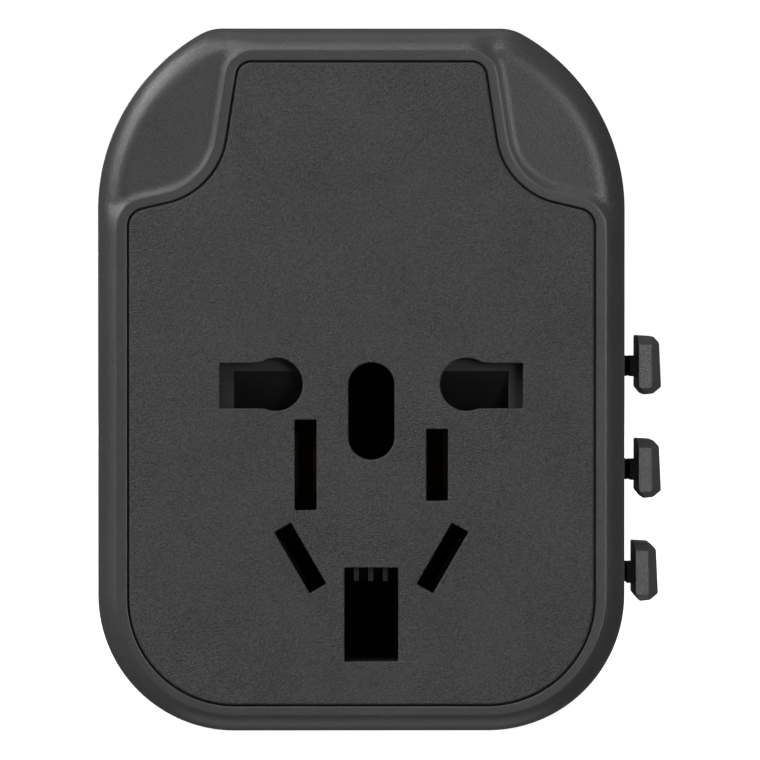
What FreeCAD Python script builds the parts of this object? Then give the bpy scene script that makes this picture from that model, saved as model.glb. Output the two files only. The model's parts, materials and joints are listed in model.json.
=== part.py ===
import FreeCAD, Part
import math
import os

import Sketcher

# Universal travel adapter.
#
# Frame: the adapter stands on its flat bottom end. +Z is up, the socket face looks towards -Y,
# the plug face towards +Y and the three slide knobs are on the +X side. The origin is the
# centre of the bottom flat. Millimetres and degrees.

DIMENSIONS = {
    # casing
    "body_half_width": 25.5,
    "body_height": 68.0,
    "body_half_depth": 27.5,
    "base_round": 13.2,
    "shoulder_corner": 61.8,
    "shoulder_round": 19.5,
    "crown_half_flat": 14.6,
    "crown_round": 4.4,
    "wall": 2.0,
    "front_wall": 3.5,
    "back_wall": 2.5,
    "parting": -7.0,
    "rim_round": 1.65,
    "scoop_round": 2.0,
    "scoop_depth": 0.6,
    "scoop_land": 1.2,
    "scoop_cut_half_width": 32.0,
    "scoop_cut_top": 72.0,
    "back_round": 2.0,
    # socket panel
    "panel_half_width": 22.5,
    "panel_foot": 2.6,
    "panel_top": 64.7,
    "panel_base_round": 10.3,
    "shoulder_edge": 50.2,
    "shoulder_edge_round": 1.7,
    "waist_half_width": 13.8,
    "waist_height": 52.2,
    "waist_round": 7.5,
    "neck_half_width": 11.85,
    "neck_round": 1.4,
    "panel_thickness": 1.8,
    "panel_sink": 0.1,
    "panel_gap": 0.2,
    "panel_ledge": 1.5,
    "panel_edge_round": 0.25,
    "ledge_play": 0.1,
    "hole_edge_round": 0.12,
    # socket openings, about the pattern's centre line
    "pattern_shift": 0.95,
    "keyhole_height": 33.45,
    "keyhole_slot": 4.38,
    "keyhole_outer": 14.65,
    "keyhole_eye": 9.2,
    "keyhole_eye_radius": 2.57,
    "keyhole_eye_rise": 0.13,
    "keyhole_blend": 2.4,
    "slot_corner": 0.15,
    "oval_height": 31.0,
    "oval_width": 4.45,
    "oval_length": 9.4,
    "us_slot_height": 25.8,
    "us_slot_offset": 6.35,
    "us_slot_width": 2.1,
    "us_slot_wide_blade": 8.75,
    "us_slot_narrow_blade": 6.95,
    "au_slot_height": 16.8,
    "au_slot_offset": 6.87,
    "au_slot_width": 1.85,
    "au_slot_length": 6.85,
    "au_tilt": 30.0,
    "earth_slot_height": 11.33,
    "earth_slot_width": 5.2,
    "earth_slot_length": 9.1,
    # contact base
    "base_half_width": 20.4,
    "base_foot": 4.4,
    "base_foot_half_width": 9.2,
    "base_shelf": 10.6,
    "base_back": -6.2,
    "base_floor": -21.4,
    "base_web": 1.6,
    "base_wall": 1.3,
    "base_play": 0.2,
    "pocket_play": 0.15,
    "tower_play": 0.6,
    "flange_wall": 1.2,
    "strap_play": 0.1,
    "strap_channel": 3.6,
    "strap_channel_depth": 3.0,
    "pole_inner": 4.2,
    "pole_outer": 15.4,
    "pole_foot": 12.9,
    "pole_top": 36.2,
    "flange_top": 48.5,
    # shutter
    "shutter_front": -25.3,
    "shutter_thickness": 3.6,
    "shutter_inner": 6.0,
    "shutter_outer": 15.9,
    "shutter_foot": 30.2,
    "shutter_top": 38.6,
    "shutter_land": 34.85,
    "shutter_play": 0.2,
    "shutter_side_play": 0.3,
    "shutter_bar": 0.7,
    "shutter_side_land": 13.3,
    "shutter_leg_inner": 3.0,
    "shutter_leg_outer": 4.2,
    "shutter_bridge_foot": 14.5,
    "shutter_bridge_top": 17.4,
    "bridge_groove": 0.9,
    "bridge_groove_pitch": 1.4,
    "bridge_groove_start": 2.6,
    "shutter_spring_offset": 10.5,
    "shutter_spring_radius": 1.3,
    "shutter_spring_wire": 0.2,
    "shutter_spring_turns": 7,
    # partition, contacts and bus bars
    "plate_thickness": 1.3,
    "plate_play": 0.3,
    "cup_wall": 0.75,
    "cup_play": 0.35,
    "cup_floor": 0.8,
    "plate_boss_play": 0.6,
    "strip": 0.6,
    "tine": 0.4,
    "tine_front": -19.0,
    "tine_inner": 7.4,
    "tine_outer": 14.4,
    "us_tine_half_length": 3.0,
    "au_tine_half_length": 2.4,
    "contact_seat": 0.1,
    "strip_outer": 14.9,
    "bus_inner": 9.0,
    "bus_outer": 14.0,
    "bus_bar": 0.8,
    "bus_upper": 29.8,
    "bus_lower": 18.75,
    "bus_end": 24.5,
    "tab_inset": 1.1,
    "line_tab_shift": 1.5,
    "line_tab_width": 2.0,
    "neutral_tab_foot": 24.1,
    "neutral_tab_top": 26.9,
    "line_tab_foot": 42.0,
    "line_tab_top": 44.0,
    "tab_play": 0.1,
    # fuse
    "fuse_radius": 3.15,
    "fuse_half_length": 12.7,
    "fuse_cap": 5.5,
    "fuse_height": 52.5,
    "fuse_depth": -13.0,
    "clip_metal": 0.5,
    "clip_reach": 1.8,
    "clip_play": 0.02,
    "bridge_height": 2.5,
    "strap_lap": 0.3,
    # screws
    "screw_low_offset": 14.0,
    "screw_low_height": 6.6,
    "screw_high_offset": 13.0,
    "screw_high_height": 60.0,
    "screw_radius": 1.25,
    "screw_head_radius": 2.1,
    "screw_head": 1.8,
    "screw_seat": 0.0,
    "screw_tip": -16.0,
    "cross_length": 2.6,
    "cross_width": 0.6,
    "cross_depth": 1.0,
    "boss_radius": 3.1,
    "boss_pilot": 1.25,
    "screw_tunnel": 2.3,
    # sliding carriages
    "stroke": 23.0,
    "carriage_front": -3.5,
    "carriage_thickness": 5.5,
    "carriage_half_width": 21.0,
    "uk_height": 35.0,
    "uk_half_band": 3.2,
    "us_height": 24.6,
    "us_half_band": 4.0,
    "eu_height": 14.25,
    "eu_half_band": 3.0,
    "guide_inner": 19.5,
    "guide_gap": 0.3,
    "guide_rail": 2.0,
    # plug pins
    "uk_pin_offset": 11.11,
    "uk_pin_width": 6.35,
    "uk_pin_thickness": 4.0,
    "uk_pin_length": 17.7,
    "uk_sleeve_length": 9.0,
    "uk_tip_bevel": 0.9,
    "sleeve_wall": 0.4,
    "uk_earth_rise": 22.22,
    "uk_earth_length": 22.7,
    "uk_earth_tall": 8.0,
    "uk_earth_wide": 4.0,
    "uk_earth_tip_bevel": 1.0,
    "arm_half_width": 4.5,
    "us_pin_offset": 6.35,
    "us_pin_length": 16.5,
    "us_pin_width": 6.3,
    "us_pin_thickness": 1.5,
    "us_tip_bevel": 0.45,
    "blade_turn": 30.0,
    "shank_radius": 2.8,
    "shank_neck": 2.3,
    "ring_radius": 3.1,
    "ring_thickness": 0.6,
    "shank_play": 0.07,
    "eu_pin_offset": 9.5,
    "eu_pin_radius": 2.0,
    "eu_pin_length": 19.0,
    "eu_neck_radius": 1.45,
    "eu_root_radius": 2.4,
    "eu_sleeve_radius": 1.8,
    "eu_sleeve_length": 10.0,
    "eu_tip_round": 1.2,
    "pin_play": 0.3,
    # wipers
    "wiper": 0.3,
    "wiper_gap": 0.15,
    "wiper_inner": 9.6,
    "wiper_outer": 12.8,
    "wiper_half_width": 1.0,
    "wiper_lap": 1.2,
    "wiper_heel": 0.5,
    # knobs
    "knob_press": 1.2,
    "knob_gap": 2.25,
    "eu_knob_inset": 0.3,
    "knob_head": 2.55,
    "knob_height": 5.95,
    "knob_length": 8.0,
    "knob_corner": 0.7,
    "knob_flare": 0.25,
    "knob_round": 1.0,
    "knob_bevel": 0.55,
    "stem_height": 2.04,
    "stem_length": 3.0,
    "stem_root": 17.8,
    "stem_play": 0.15,
    "stem_slot_play": 0.36,
    "socket_root": 15.2,
    "knob_spring_radius": 0.75,
    "knob_spring_wire": 0.12,
    "lug_width": 1.0,
    "lug_rise": 0.8,
    "lug_half_depth": 0.5,
    "lug_play": 0.2,
    "spring_play": 0.02,
    "knob_spring_turns": 5,
}


class Size:
    """A number together with the spreadsheet expression that gives it."""

    def __init__(self, value, text):
        self.value = value
        self.text = text

    def __add__(self, other):
        other = as_size(other)
        return Size(self.value + other.value, f"({self.text} + {other.text})")

    def __sub__(self, other):
        other = as_size(other)
        return Size(self.value - other.value, f"({self.text} - {other.text})")

    def __mul__(self, other):
        other = as_size(other)
        return Size(self.value * other.value, f"({self.text} * {other.text})")

    def __truediv__(self, other):
        other = as_size(other)
        return Size(self.value / other.value, f"({self.text} / {other.text})")

    def __neg__(self):
        return self * -1

    def __radd__(self, other):
        return as_size(other) + self

    def __rsub__(self, other):
        return as_size(other) - self

    def __rmul__(self, other):
        return as_size(other) * self


def as_size(number):
    return number if isinstance(number, Size) else Size(float(number), repr(float(number)))


def sine(angle):
    return Size(math.sin(math.radians(angle.value)), f"sin({angle.text} * 1 deg)")


def cosine(angle):
    return Size(math.cos(math.radians(angle.value)), f"cos({angle.text} * 1 deg)")


document = FreeCAD.newDocument("travel_adapter")
sheet = document.addObject("Spreadsheet::Sheet", "Sizes")


class Table:
    """Every driving dimension as a Size, bound to its cell of the sheet."""

    def __init__(self, dimensions):
        for row, (name, value) in enumerate(dimensions.items(), 1):
            sheet.set(f"A{row}", name)
            sheet.set(f"B{row}", str(value))
            sheet.setAlias(f"B{row}", name)
            setattr(self, name, Size(value, f"Sizes.{name}"))


D = Table(DIMENSIONS)
document.recompute()


def bind(thing, attribute, size):
    thing.setExpression(attribute, as_size(size).text)


# ---------------------------------------------------------------- sketches


def point(x, y):
    return FreeCAD.Vector(as_size(x).value, as_size(y).value, 0)


def hold(sketch, element, end, x, y):
    """Fixes a point of the sketch at x and y, measured from the sketch's origin."""
    for axis, size in (("X", as_size(x)), ("Y", as_size(y))):
        ends = (-1, 1, element, end)
        sign = 1
        if size.value < 0:
            ends = (element, end, -1, 1)
            sign = -1
        number = sketch.addConstraint(Sketcher.Constraint(f"Distance{axis}", *ends, abs(size.value)))
        sketch.setExpression(f"Constraints[{number}]", f"{sign} * {size.text}")


def corner_arc(before, corner, after, radius):
    """Start, end and centre of the arc that rounds a corner."""
    back = (before - corner).normalize()
    ahead = (after - corner).normalize()
    half = back.getAngle(ahead) / 2
    middle = (back + ahead).normalize()
    reach = radius / math.tan(half)
    return corner + back * reach, corner + ahead * reach, corner + middle * (radius / math.sin(half))


def draw_loop(sketch, corners):
    """Closed outline of straight lines; a corner (x, y, radius) is rounded, (x, y, None) is sharp."""
    points = [point(x, y) for x, y, radius in corners]
    count = len(corners)
    arcs = []
    for i, (x, y, radius) in enumerate(corners):
        if radius is None:
            arcs.append((points[i], points[i], None))
        else:
            following = points[(i + 1) % count]
            arcs.append(corner_arc(points[i - 1], points[i], following, as_size(radius).value))
    lines = []
    for i in range(count):
        segment = Part.LineSegment(arcs[i][1], arcs[(i + 1) % count][0])
        lines.append(sketch.addGeometry(segment, False))
    for i, (x, y, radius) in enumerate(corners):
        before, after = lines[i - 1], lines[i]
        start, end, centre = arcs[i]
        if radius is None:
            sketch.addConstraint(Sketcher.Constraint("Coincident", before, 2, after, 1))
            hold(sketch, after, 1, x, y)
            continue
        radius = as_size(radius)
        first, last = start - centre, end - centre
        turns_left = first.x * last.y - first.y * last.x > 0
        angles = [math.atan2(v.y, v.x) for v in ((first, last) if turns_left else (last, first))]
        circle = Part.Circle(centre, FreeCAD.Vector(0, 0, 1), radius.value)
        arc = sketch.addGeometry(Part.ArcOfCircle(circle, *angles), False)
        arc_start, arc_end = (1, 2) if turns_left else (2, 1)
        sketch.addConstraint(Sketcher.Constraint("Tangent", before, 2, arc, arc_start))
        sketch.addConstraint(Sketcher.Constraint("Tangent", arc, arc_end, after, 1))
        number = sketch.addConstraint(Sketcher.Constraint("Radius", arc, radius.value))
        sketch.setExpression(f"Constraints[{number}]", radius.text)
        corner = sketch.addGeometry(Part.Point(points[i]), True)
        sketch.addConstraint(Sketcher.Constraint("PointOnObject", corner, 1, before))
        sketch.addConstraint(Sketcher.Constraint("PointOnObject", corner, 1, after))
        hold(sketch, corner, 1, x, y)


def draw_circle(sketch, x, y, radius):
    circle = Part.Circle(point(x, y), FreeCAD.Vector(0, 0, 1), as_size(radius).value)
    element = sketch.addGeometry(circle, False)
    number = sketch.addConstraint(Sketcher.Constraint("Radius", element, as_size(radius).value))
    sketch.setExpression(f"Constraints[{number}]", as_size(radius).text)
    hold(sketch, element, 3, x, y)


def rectangle(x, y, radius=None):
    """Four corners from two spans."""
    return [(x[0], y[0], radius), (x[1], y[0], radius), (x[1], y[1], radius), (x[0], y[1], radius)]


def tilted_rectangle(x, y, half_width, half_length, tilt, radius=None):
    """A rectangle about (x, y) whose long sides lean from the vertical by tilt, clockwise."""
    along = (sine(tilt) * half_length, cosine(tilt) * half_length)
    across = (cosine(tilt) * half_width, -(sine(tilt) * half_width))
    signs = ((-1, -1), (-1, 1), (1, 1), (1, -1))
    return [
        (x + along[0] * a + across[0] * b, y + along[1] * a + across[1] * b, radius)
        for a, b in signs
    ]


def mirrored(corners):
    return [(-as_size(x), y, radius) for x, y, radius in reversed(corners)]


def shifted(corners, x):
    return [(as_size(cx) + x, y, radius) for cx, y, radius in corners]


def grown(corners, margin):
    """The outline moved outwards by margin, with its rounds kept concentric."""
    points = [point(x, y) for x, y, radius in corners]
    count = len(points)
    result = []
    for i, (x, y, radius) in enumerate(corners):
        into = (points[i] - points[i - 1]).normalize()
        out = (points[(i + 1) % count] - points[i]).normalize()
        normal_in = FreeCAD.Vector(into.y, -into.x, 0)
        normal_out = FreeCAD.Vector(out.y, -out.x, 0)
        reach = (normal_in + normal_out) * (1 / (1 + normal_in.dot(normal_out)))
        convex = into.x * out.y - into.y * out.x > 0
        new_radius = None
        if radius is not None:
            new_radius = radius + margin if convex else radius - margin
            if new_radius.value < 0.05:
                new_radius = None
        result.append((x + margin * reach.x, y + margin * reach.y, new_radius))
    return result


# ---------------------------------------------------------------- pieces

NORMAL = {"XZ": -1, "YZ": 1}


class Piece:
    """One physical piece: a PartDesign body whose features are bound to the sheet."""

    def __init__(self, name):
        self.name = name
        self.body = document.addObject("PartDesign::Body", name)
        self.body.Label = name
        self.body.AllowCompound = True
        self.count = 0

    def title(self, kind):
        self.count += 1
        return f"{self.name}_{kind}_{self.count}"

    def sketch(self, plane, at):
        """A sketch on the plane XZ at Y = at, or on the plane YZ at X = at."""
        sketch = self.body.newObject("Sketcher::SketchObject", self.title("sketch"))
        support = [o for o in self.body.Origin.OriginFeatures if o.Role == f"{plane}_Plane"]
        sketch.AttachmentSupport = [(support[0], "")]
        sketch.MapMode = "FlatFace"
        bind(sketch, "AttachmentOffset.Base.z", as_size(at) * NORMAL[plane])
        return sketch

    def extrude(self, kind, plane, span, loops):
        low, high = as_size(span[0]), as_size(span[1])
        faces_up = (kind == "Pad") == (NORMAL[plane] > 0)
        sketch = self.sketch(plane, low if faces_up else high)
        for loop in loops:
            if isinstance(loop, tuple):
                draw_circle(sketch, *loop)
            else:
                draw_loop(sketch, loop)
        feature = self.body.newObject(f"PartDesign::{kind}", self.title(kind.lower()))
        feature.Profile = sketch
        bind(feature, "Length", high - low)
        return feature

    def pad(self, span, *loops, plane="XZ"):
        return self.extrude("Pad", plane, span, loops)

    def pocket(self, span, *loops, plane="XZ"):
        document.recompute()
        before = self.body.Shape.Volume
        feature = self.extrude("Pocket", plane, span, loops)
        document.recompute()
        if not self.body.Shape.Volume < before - 1e-6:
            raise RuntimeError(f"{feature.Name} removes nothing")
        return feature

    def block(self, x, y, z, kind="Additive"):
        feature = self.body.newObject(f"PartDesign::{kind}Box", self.title("box"))
        for side, axis, span in (("Length", "x", x), ("Width", "y", y), ("Height", "z", z)):
            low, high = as_size(span[0]), as_size(span[1])
            bind(feature, side, high - low)
            bind(feature, f"Placement.Base.{axis}", low)
        return feature

    def cut(self, x, y, z):
        return self.block(x, y, z, kind="Subtractive")

    def coil(self, plane, at, centre, radius, wire, start, pitch, height, axis):
        """A helical spring about an axis of the sketch that passes through centre."""
        sketch = self.sketch(plane, at)
        bind(sketch, "AttachmentOffset.Base.x", centre[0])
        bind(sketch, "AttachmentOffset.Base.y", centre[1])
        place = (radius, start) if axis == "V_Axis" else (start, radius)
        draw_circle(sketch, *place, wire)
        feature = self.body.newObject("PartDesign::AdditiveHelix", self.title("helix"))
        feature.Profile = sketch
        feature.ReferenceAxis = (sketch, [axis])
        feature.Mode = 0
        bind(feature, "Pitch", pitch)
        bind(feature, "Height", height)
        return feature

    def round_edges(self, radius, chosen, kind="Fillet"):
        document.recompute()
        base = self.body.Tip
        names = [f"Edge{n}" for n, edge in enumerate(base.Shape.Edges, 1) if chosen(edge)]
        if not names:
            raise RuntimeError(f"{self.name}: no edge to round")
        feature = self.body.newObject(f"PartDesign::{kind}", self.title(kind.lower()))
        feature.Base = (base, names)
        bind(feature, "Radius" if kind == "Fillet" else "Size", radius)
        document.recompute()
        return feature


def edge_on(axis, size, also=None):
    """Picks the edges that lie wholly in one plane across the axis."""
    value = as_size(size).value

    def chosen(edge):
        box = edge.BoundBox
        low, high = getattr(box, f"{axis}Min"), getattr(box, f"{axis}Max")
        flat = abs(low - value) < 1e-3 and abs(high - value) < 1e-3
        return flat and (also is None or also(edge))

    return chosen


# ---------------------------------------------------------------- shared places

FRONT = -D.body_half_depth
BACK = D.body_half_depth
BACK_INNER = BACK - D.back_wall
SIDES = (-1, 1)
SETS = {
    "uk": (D.uk_height, D.uk_half_band),
    "us": (D.us_height, D.us_half_band),
    "eu": (D.eu_height, D.eu_half_band),
}
SCREWS = [
    (D.screw_low_offset * side, D.screw_low_height) for side in SIDES
] + [(D.screw_high_offset * side, D.screw_high_height) for side in SIDES]


def both_sides(half):
    """A closed outline from its right half, listed upwards from the bottom."""
    return half + mirrored(half)


def span(side, inner, outer, shift=0):
    """An X span on one side of the centre line, with the low end first."""
    ends = (as_size(inner) * side + shift, as_size(outer) * side + shift)
    return ends if side > 0 else (ends[1], ends[0])


def rising(level, near, far):
    """Two places on one side of a middle, the lower one first; level is -1 below it and 1 above."""
    return (near, far) if level > 0 else (far, near)


BODY_OUTLINE = both_sides([
    (D.body_half_width, as_size(0), D.base_round),
    (D.body_half_width, D.shoulder_corner, D.shoulder_round),
    (D.crown_half_flat, D.body_height, D.crown_round),
])
PANEL_OUTLINE = both_sides([
    (D.panel_half_width, D.panel_foot, D.panel_base_round),
    (D.panel_half_width, D.shoulder_edge, D.shoulder_edge_round),
    (D.waist_half_width, D.waist_height, D.waist_round),
    (D.neck_half_width, D.panel_top, D.neck_round),
])
CAVITY_OUTLINE = grown(BODY_OUTLINE, -D.wall)
LINE_TAB = (D.bus_inner - D.line_tab_shift, D.bus_inner - D.line_tab_shift + D.line_tab_width)


# ---------------------------------------------------------------- casing


def scoop_regions():
    """The two shoulders that are set back from the rim, outside the panel's neck and waist."""
    grown_panel = grown(PANEL_OUTLINE, D.scoop_land)
    edge, waist, neck = grown_panel[1:4]
    outside, above = D.scoop_cut_half_width, D.scoop_cut_top
    side_slope = (edge[1] - waist[1]) / (edge[0] - waist[0])
    neck_slope = (neck[0] - waist[0]) / (neck[1] - waist[1])
    side_end = waist[1] + side_slope * (outside - waist[0])
    neck_end = waist[0] + neck_slope * (above - waist[1])
    right = [(outside, side_end, None), (outside, above, None), (neck_end, above, None), waist]
    return right, mirrored(right)


def front_housing():
    """Front half: a rim and side walls, with the two shoulders set back in front."""
    rim = Piece("front_rim")
    rim.pad((FRONT, FRONT + D.front_wall), BODY_OUTLINE)
    rim.round_edges(D.rim_round, edge_on("Y", FRONT))
    for region in scoop_regions():
        rim.pocket((FRONT, FRONT + D.front_wall), region)
    shoulder_face = FRONT + D.scoop_depth
    piece = Piece("front_housing")
    piece.pad((shoulder_face, D.parting), BODY_OUTLINE)
    piece.round_edges(D.scoop_round, edge_on("Y", shoulder_face))
    document.recompute()
    union = piece.body.newObject("PartDesign::Boolean", "front_housing_union")
    union.setObjects([rim.body])
    union.Type = "Fuse"
    piece.pocket((FRONT + D.front_wall, D.parting), CAVITY_OUTLINE)
    recess = FRONT + D.panel_sink + D.panel_thickness + D.ledge_play
    piece.pocket((FRONT, recess), grown(PANEL_OUTLINE, D.panel_gap))
    piece.pocket((recess, FRONT + D.front_wall), grown(PANEL_OUTLINE, -D.panel_ledge))
    bosses = [(x, z, D.boss_radius) for x, z in SCREWS]
    piece.pad((FRONT + D.front_wall, D.parting), *bosses)
    pilots = [(x, z, D.boss_pilot) for x, z in SCREWS]
    piece.pocket((D.screw_tip, D.parting), *pilots)
    return piece


def rear_housing():
    """Rear half: back wall with the pin holes, knob slots, guide ribs and screw tunnels."""
    piece = Piece("rear_housing")
    piece.pad((D.parting, BACK), BODY_OUTLINE)
    piece.round_edges(D.back_round, edge_on("Y", BACK))
    piece.pocket((D.parting, BACK_INNER), CAVITY_OUTLINE)
    gaps = [
        (D.eu_height - D.eu_half_band - D.guide_gap - D.guide_rail, D.eu_height - D.eu_half_band),
        (D.eu_height + D.eu_half_band, D.us_height - D.us_half_band),
        (D.us_height + D.us_half_band, D.uk_height - D.uk_half_band),
        (D.uk_height + D.uk_half_band, D.uk_height + D.uk_half_band + D.guide_gap + D.guide_rail),
    ]
    for low, high in gaps:
        rails = [
            rectangle(span(side, D.guide_inner, D.body_half_width - D.wall / 2),
                      (low + D.guide_gap, high - D.guide_gap))
            for side in SIDES
        ]
        piece.pad((D.carriage_front, BACK_INNER + 0.5), *rails)
    bosses = [(x, z, D.boss_radius + 0.3) for x, z in SCREWS]
    piece.pad((D.parting, BACK_INNER + 0.5), *bosses)
    tunnels = [(x, z, D.screw_tunnel) for x, z in SCREWS]
    piece.pocket((D.screw_seat, BACK), *tunnels)
    shanks = [(x, z, D.screw_radius + 0.1) for x, z in SCREWS]
    piece.pocket((D.parting, D.screw_seat), *shanks)
    for height, _ in SETS.values():
        low = knob_middle() - D.stem_length / 2 - D.stem_slot_play
        high = knob_middle() + D.stem_length / 2 + D.stem_slot_play + D.stroke
        half = D.stem_height / 2 + D.stem_slot_play
        piece.cut((D.body_half_width - D.wall - 0.5, D.body_half_width + 1), (low, high),
                  (height - half, height + half))
    openings = []
    for side in SIDES:
        half = (D.uk_pin_width / 2 + D.pin_play, D.uk_pin_thickness / 2 + D.pin_play)
        centre = D.uk_pin_offset * side
        openings.append(rectangle((centre - half[0], centre + half[0]),
                                  (D.uk_height - half[1], D.uk_height + half[1]), D.slot_corner))
        openings.append((D.eu_pin_offset * side, D.eu_height, D.eu_pin_radius + D.pin_play))
        openings.append(fan_slot(side))
    half = (D.uk_earth_wide / 2 + D.pin_play, D.uk_earth_tall / 2 + D.pin_play)
    earth = D.uk_height + D.uk_earth_rise
    openings.append(rectangle((-half[0], half[0]), (earth - half[1], earth + half[1]), D.slot_corner))
    piece.pocket((BACK_INNER, BACK), *openings)
    return piece


def fan_slot(side):
    """The outline swept by a blade that turns about its own centre, leaning inwards at the top."""
    half_width = D.us_pin_thickness / 2 + D.pin_play
    half_length = D.us_pin_width / 2 + D.pin_play
    turn = D.blade_turn
    crossing = half_width * (1 - cosine(turn)) / sine(turn)
    reach = half_length + D.slot_corner
    half = [
        (half_width, D.us_height - crossing, None),
        (sine(turn) * half_length + cosine(turn) * half_width,
         D.us_height + cosine(turn) * half_length - sine(turn) * half_width, D.slot_corner),
        (sine(turn / 2) * reach, D.us_height + cosine(turn / 2) * reach, D.slot_corner * 6),
        (-half_width, D.us_height + half_length, D.slot_corner),
    ]
    turned = [(-x, 2 * D.us_height - z, radius) for x, z, radius in half]
    outline = half + turned
    if side > 0:
        outline = mirrored(outline)
    return shifted(outline, D.us_pin_offset * side)


def front_panel():
    """Inlaid plate with the socket openings."""
    piece = Piece("front_panel")
    face = FRONT + D.panel_sink
    back = face + D.panel_thickness
    piece.pad((face, back), PANEL_OUTLINE)
    piece.round_edges(D.panel_edge_round, edge_on("Y", face))
    eyes = []
    for side in SIDES:
        eyes.append((D.keyhole_eye * side + D.pattern_shift, D.keyhole_height + D.keyhole_eye_rise,
                     D.keyhole_eye_radius))
        half = D.keyhole_slot / 2
        arm = rectangle(span(side, D.keyhole_eye, D.keyhole_outer, D.pattern_shift),
                        (D.keyhole_height - half, D.keyhole_height + half), D.slot_corner)
        piece.pocket((face, back), arm)
    piece.pocket((face, back), *eyes)
    piece.round_edges(D.keyhole_blend, at_keyhole_neck)
    piece.pocket((face, back), *small_slots(as_size(0)))
    piece.pocket((face, back), oval_slot(as_size(0)), earth_slot(as_size(0)))
    piece.round_edges(D.hole_edge_round, edge_on("Y", face, round_an_opening))
    return piece


def round_an_opening(edge):
    """The edges of the panel's face that lie away from its outline."""
    middle = edge.CenterOfMass
    low, high = D.panel_foot.value + 2, D.shoulder_edge.value - 5
    return abs(middle.x) < D.panel_half_width.value - 1.5 and low < middle.z < high


def at_keyhole_neck(edge):
    """The four short edges where a keyhole's round eye meets its straight arm."""
    box = edge.BoundBox
    if box.XLength > 1e-3 or box.ZLength > 1e-3:
        return False
    beyond_eye = abs(box.XMin - D.pattern_shift.value) - D.keyhole_eye.value
    off_middle = abs(box.ZMin - D.keyhole_height.value)
    on_the_arm = abs(off_middle - D.keyhole_slot.value / 2) < 1e-2
    return on_the_arm and 0.5 < beyond_eye < D.keyhole_eye_radius.value


def small_slots(play):
    """The upright and the leaning blade slots, each pair about the pattern's centre line."""
    loops = []
    lengths = {-1: D.us_slot_wide_blade, 1: D.us_slot_narrow_blade}
    for side in SIDES:
        centre = D.us_slot_offset * side + D.pattern_shift
        half_width = D.us_slot_width / 2 + play
        half_length = lengths[side] / 2 + play
        loops.append(rectangle((centre - half_width, centre + half_width),
                               (D.us_slot_height - half_length, D.us_slot_height + half_length),
                               D.slot_corner))
        leaning = tilted_rectangle(D.au_slot_offset * side + D.pattern_shift, D.au_slot_height,
                                   D.au_slot_width / 2 + play, D.au_slot_length / 2 + play,
                                   D.au_tilt * side, D.slot_corner)
        loops.append(leaning)
    return loops


def oval_slot(play):
    half = D.oval_width / 2 + play
    middle = D.pattern_shift
    reach = D.oval_length / 2 + play
    return rectangle((middle - half, middle + half), (D.oval_height - reach, D.oval_height + reach),
                     half * 0.98)


def earth_slot(play):
    half = D.earth_slot_width / 2 + play
    reach = D.earth_slot_length / 2 + play
    middle = D.pattern_shift
    return rectangle((middle - half, middle + half),
                     (D.earth_slot_height - reach, D.earth_slot_height + reach), D.slot_corner)


# ---------------------------------------------------------------- socket parts


def contact_base():
    """Moulding behind the panel: contact pockets, shutter recess and the two earth passages."""
    piece = Piece("contact_base")
    front = FRONT + D.panel_sink + D.panel_thickness + D.base_play
    shift = D.pattern_shift
    outline = both_sides([
        (D.base_foot_half_width, D.base_foot, None),
        (D.base_foot_half_width, D.base_shelf, None),
        (D.base_half_width, D.base_shelf, None),
        (D.base_half_width, D.flange_top, None),
    ])
    piece.pad((front, D.base_back), outline)
    web_back = D.base_floor + D.base_web
    piece.cut((-(D.base_half_width + 1), D.base_half_width + 1), (web_back, D.base_back + 1),
              (D.pole_top + D.base_wall, D.flange_top + 1))
    leg, foot = D.shutter_leg_outer + D.shutter_play, D.shutter_foot - D.shutter_play
    recess = shifted(both_sides([
        (leg, D.shutter_bridge_foot - D.shutter_play, None),
        (leg, foot, None),
        (D.shutter_outer + D.shutter_side_play, foot, None),
        (D.shutter_outer + D.shutter_side_play, D.flange_top - D.flange_wall, None),
    ]), shift)
    tower = oval_slot(D.tower_play)
    piece.pocket((front, D.base_floor), recess, tower)
    for side in SIDES:
        pole = rectangle(span(side, D.pole_inner, D.pole_outer, shift), (D.pole_foot, D.pole_top))
        piece.pocket((web_back, D.base_back), pole)
    play = D.pocket_play
    for side in SIDES:
        half = D.keyhole_slot / 2 + play
        arm = rectangle(span(side, D.keyhole_eye, D.keyhole_outer + play, shift),
                        (D.keyhole_height - half, D.keyhole_height + half))
        piece.pocket((front, web_back), arm)
        eye = (D.keyhole_eye * side + shift, D.keyhole_height + D.keyhole_eye_rise,
               D.keyhole_eye_radius + play)
        piece.pocket((front, web_back), eye)
    piece.pocket((front, web_back), *small_slots(play))
    piece.pocket((front, D.base_back), oval_slot(play), earth_slot(play))
    strap = span(-1, D.bus_outer - D.strap_channel, D.bus_outer + D.strap_play)
    piece.cut(strap, (D.base_back - D.strap_channel_depth, D.base_back + 1),
              (D.pole_top - 1, D.pole_top + D.base_wall + 1))
    return piece


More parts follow.
